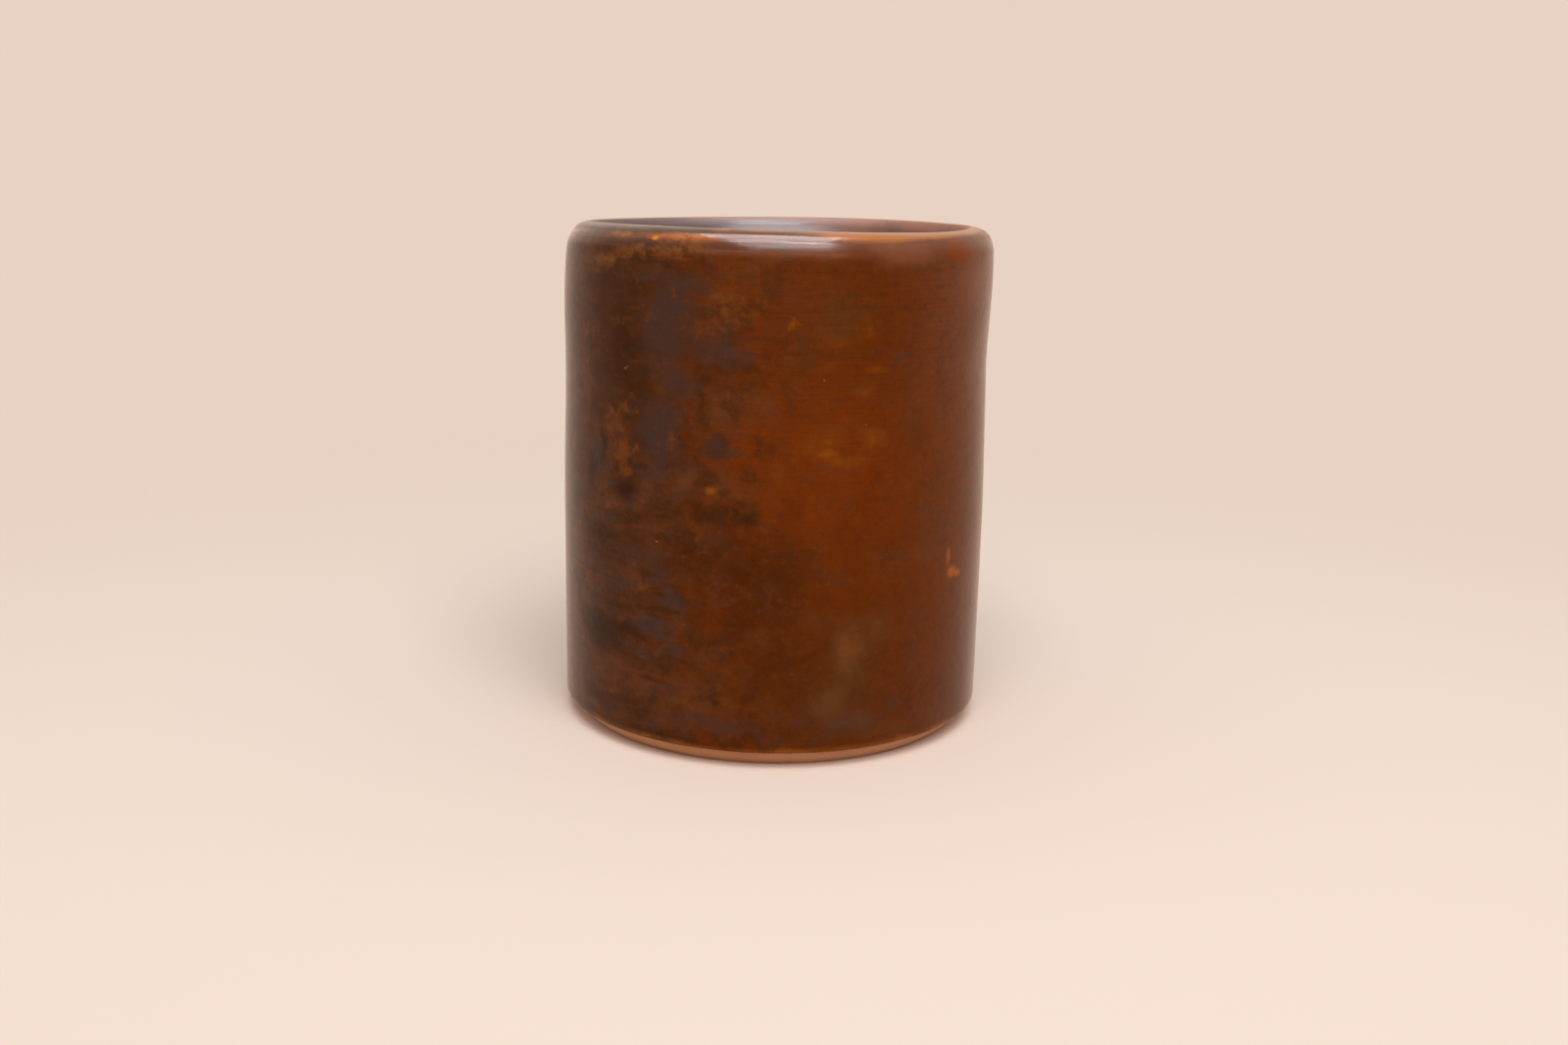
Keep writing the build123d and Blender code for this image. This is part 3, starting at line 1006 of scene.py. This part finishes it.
def liner_glaze_finish():
    """The glaze inside: dark umber on one side, red-brown on the other, orange on the lip."""
    finish, r = new_finish("liner_glaze_finish")
    at = surface_place(r)
    cloud = r.noise(at.spot, LINER_CLOUD, 4, shift=5.0)
    grain = r.noise(at.spot, LINER_GRAIN, 4, 0.65, shift=6.0)
    # Umber on one side and red on the other, both lightened by painted light
    colour = r.paint(r.rise(at.x, *LINER_RED_SIDE), LINER_UMBER_PAINTED_LIGHTER, LINER_RED)
    colour = strew(r, colour, LINER_DEEP, cloud, 0.45, 0.68, 0.7)
    colour = r.paint(r.rise(at.height, *LINER_DARK_HEIGHTS, 0.8, 0.0), colour, LINER_DEEP)
    lip = r.times(r.rise(at.radius, *LINER_LIP), r.rise(cloud, 0.35, 0.6, 0.3, 0.8))
    colour = r.paint(lip, colour, BREAK_ORANGE)
    rougher = r.rise(at.height, *LINER_ROUGHER_HEIGHTS, 0.0, 0.22)
    roughness = r.maths("ADD", r.maths("MULTIPLY_ADD", grain, 0.14, 0.30), rougher)

    # The coat pools in the middle of the far side, just under the lip
    off = r.maths("ABSOLUTE", r.maths("SUBTRACT", at.x, POOL_MIDDLE))
    far = r.maths("GREATER_THAN", at.y, 0.0)
    pooled = r.times(r.rise(off, *POOL_WIDTHS, 1.0, 0.0), far)
    pooled = r.times(pooled, r.rise(at.height, *POOL_HEIGHTS, 1.0, 0.0))
    close_finish(
        r,
        colour,
        roughness,
        r.bump(grain, 0.2, LINER_RELIEF),
        specular=1.0,
        coat_weight=pooled,
        coat_roughness=COAT_ROUGHNESS,
    )
    return finish


BUFF_CLAY = (0.480, 0.228, 0.104, 1)
IRON_CLAY = (0.330, 0.125, 0.055, 1)
PALE_GRIT = (0.620, 0.430, 0.300, 1)
DARK_GRIT = (0.090, 0.045, 0.028, 1)
CLAY_CLOUD = 9 * MM
CLAY_GRIT = 0.5 * MM
TURNING_MARKS = 0.9 * MM
CLAY_RELIEF = 0.15 * MM
BLUSH_HEIGHTS = (0.5 * BEVEL_HEIGHT, BEVEL_HEIGHT)


def bare_clay_finish():
    """Unglazed fired clay: buff, with fine grit and turning marks, and an iron blush near the glaze."""
    finish, r = new_finish("bare_clay_finish")
    at = surface_place(r)
    cloud = r.noise(at.spot, CLAY_CLOUD, 4, shift=11.0)
    grit = r.noise(at.spot, CLAY_GRIT, 3, 0.7)
    blush = r.rise(at.height, *BLUSH_HEIGHTS, 0.15, 0.75)
    colour = r.paint(r.times(blush, r.rise(cloud, 0.3, 0.7, 0.4, 1.0)), BUFF_CLAY, IRON_CLAY)
    colour = strew(r, colour, PALE_GRIT, grit, 0.62, 0.72, 0.55)
    colour = strew(r, colour, DARK_GRIT, grit, 0.36, 0.28, 0.6)
    out_from_axis = r.put("ShaderNodeCombineXYZ", {"X": at.radius}).outputs[0]
    relief = r.maths("MULTIPLY_ADD", grit, 0.5, r.noise(out_from_axis, TURNING_MARKS))
    roughness = r.maths("MULTIPLY_ADD", grit, 0.2, 0.68)
    close_finish(r, colour, roughness, r.bump(relief, 0.5, CLAY_RELIEF), specular=0.3)
    return finish


# The stage: a pale floor that turns into the backdrop's colour, soft lamps and the camera

BACKDROP = (0.805, 0.645, 0.545)
FLOOR_COLOUR = (0.890, 0.722, 0.590)
SKY_LIGHT = (0.86, 0.90, 1.0)
SHINE_LIGHT = (1.0, 0.88, 0.94)
ROOM_LIGHT = (0.80, 0.78, 0.76)
ROOM_LEVEL = 0.62
FLOOR_HALF = 6.0
FLOOR_BLEND = (0.08, 0.34)

# Lamps: name, place, what it faces, size, power, colour, whether it is seen only as a shine
LAMPS = (
    ("key", (0.1, -0.7, 1.1), (0, 0, 0.05), (0.9, 0.9), 14, SKY_LIGHT, False),
    ("top_shine", (-0.03, -0.03, 1.0), (-0.03, -0.029, 0), (0.60, 0.70), 10, SHINE_LIGHT, True),
    ("front_shine", (0, -1.12, 0.42), (0, 0, 0.09), (1.9, 0.60), 13, SHINE_LIGHT, True),
)


def add_backdrop():
    """A world that is pale where it is seen and neutral where it lights the cup."""
    world = bpy.data.worlds.new("backdrop")
    bpy.context.scene.world = world
    world.use_nodes = True
    world.node_tree.nodes.clear()
    r = Recipe(world.node_tree)
    path = r.put("ShaderNodeLightPath").outputs
    seen = r.maths("MAXIMUM", path["Is Camera Ray"], path["Is Glossy Ray"])
    seen = r.maths("MAXIMUM", seen, path["Is Transmission Ray"])
    pale = r.put("ShaderNodeBackground", {"Color": (*BACKDROP, 1), "Strength": 1.0})
    room = r.put("ShaderNodeBackground", {"Color": (*ROOM_LIGHT, 1), "Strength": ROOM_LEVEL})
    mix = r.put("ShaderNodeMixShader", {0: seen, 1: room.outputs[0], 2: pale.outputs[0]})
    r.put("ShaderNodeOutputWorld", {"Surface": mix.outputs[0]})


def add_floor():
    """A floor whose own colour gives way to the backdrop's a little way out from the cup."""
    mesh = bpy.data.meshes.new("floor")
    corners = [(x * FLOOR_HALF, y * FLOOR_HALF, 0) for x, y in ((-1, -1), (1, -1), (1, 1), (-1, 1))]
    mesh.from_pydata(corners, [], [(0, 1, 2, 3)])
    floor = bpy.data.objects.new("floor", mesh)
    bpy.context.scene.collection.objects.link(floor)
    finish, r = new_finish("floor_finish")
    spot = r.put("ShaderNodeTexCoord").outputs["Object"]
    far = r.rise(r.vector("LENGTH", spot), *FLOOR_BLEND)
    near = r.put("ShaderNodeBsdfDiffuse", {"Color": (*FLOOR_COLOUR, 1)})
    glow = r.put("ShaderNodeEmission", {"Color": (*BACKDROP, 1), "Strength": 1.0})
    mix = r.put("ShaderNodeMixShader", {0: far, 1: near.outputs[0], 2: glow.outputs[0]})
    r.put("ShaderNodeOutputMaterial", {"Surface": mix.outputs[0]})
    mesh.materials.append(finish)


def add_softbox(name, place, aim, size, power, colour, only_shine):
    """A rectangular lamp that faces aim."""
    lamp = bpy.data.lights.new(name, "AREA")
    lamp.shape = "RECTANGLE"
    lamp.size, lamp.size_y = size
    lamp.energy = power
    lamp.color = colour
    box = bpy.data.objects.new(name, lamp)
    bpy.context.scene.collection.objects.link(box)
    box.location = place
    box.rotation_euler = (Vector(aim) - Vector(place)).to_track_quat("-Z", "Y").to_euler()
    box.visible_camera = False
    box.visible_diffuse = not only_shine


# The camera stands where it stood for the photograph
CAMERA_PLACE = Vector((0, -289.1 * MM, 101.7 * MM))
CAMERA_PITCH = math.radians(13.11)
CAMERA_YAW = math.radians(0.40)
CAMERA_ROLL = math.radians(1.26)
CAMERA_LENS = 36.0
CAMERA_SENSOR = 36.0
CAMERA_CLIP_START = 10 * MM


def add_camera():
    data = bpy.data.cameras.new("camera")
    data.lens = CAMERA_LENS
    data.sensor_width = CAMERA_SENSOR
    data.clip_start = CAMERA_CLIP_START
    camera = bpy.data.objects.new("camera", data)
    bpy.context.scene.collection.objects.link(camera)
    turn = Matrix.Rotation(-CAMERA_YAW, 4, "Z") @ Matrix.Rotation(math.pi / 2 - CAMERA_PITCH, 4, "X")
    camera.matrix_world = Matrix.Translation(CAMERA_PLACE) @ turn @ Matrix.Rotation(CAMERA_ROLL, 4, "Z")
    bpy.context.scene.camera = camera


# Making the cup

tree = turning_tree()
clay = bare_clay_finish()
pieces = (
    ("base_disc", base_disc_outline(), clay, "bare_clay"),
    ("clay_wall", clay_wall_outline(), clay, "bare_clay"),
    ("seam_coil", seam_coil_outline(), clay, "bare_clay"),
    ("outer_glaze", outer_glaze_outline(), outer_glaze_finish(), "outer_glaze"),
    ("liner_glaze", liner_glaze_outline(), liner_glaze_finish(), "liner_glaze"),
)
for name, outline, finish, slot in pieces:
    turned_piece(name, outline, finish, tree)

add_backdrop()
add_floor()
for lamp in LAMPS:
    add_softbox(*lamp)
add_camera()
bpy.context.scene.view_settings.view_transform = "Standard"
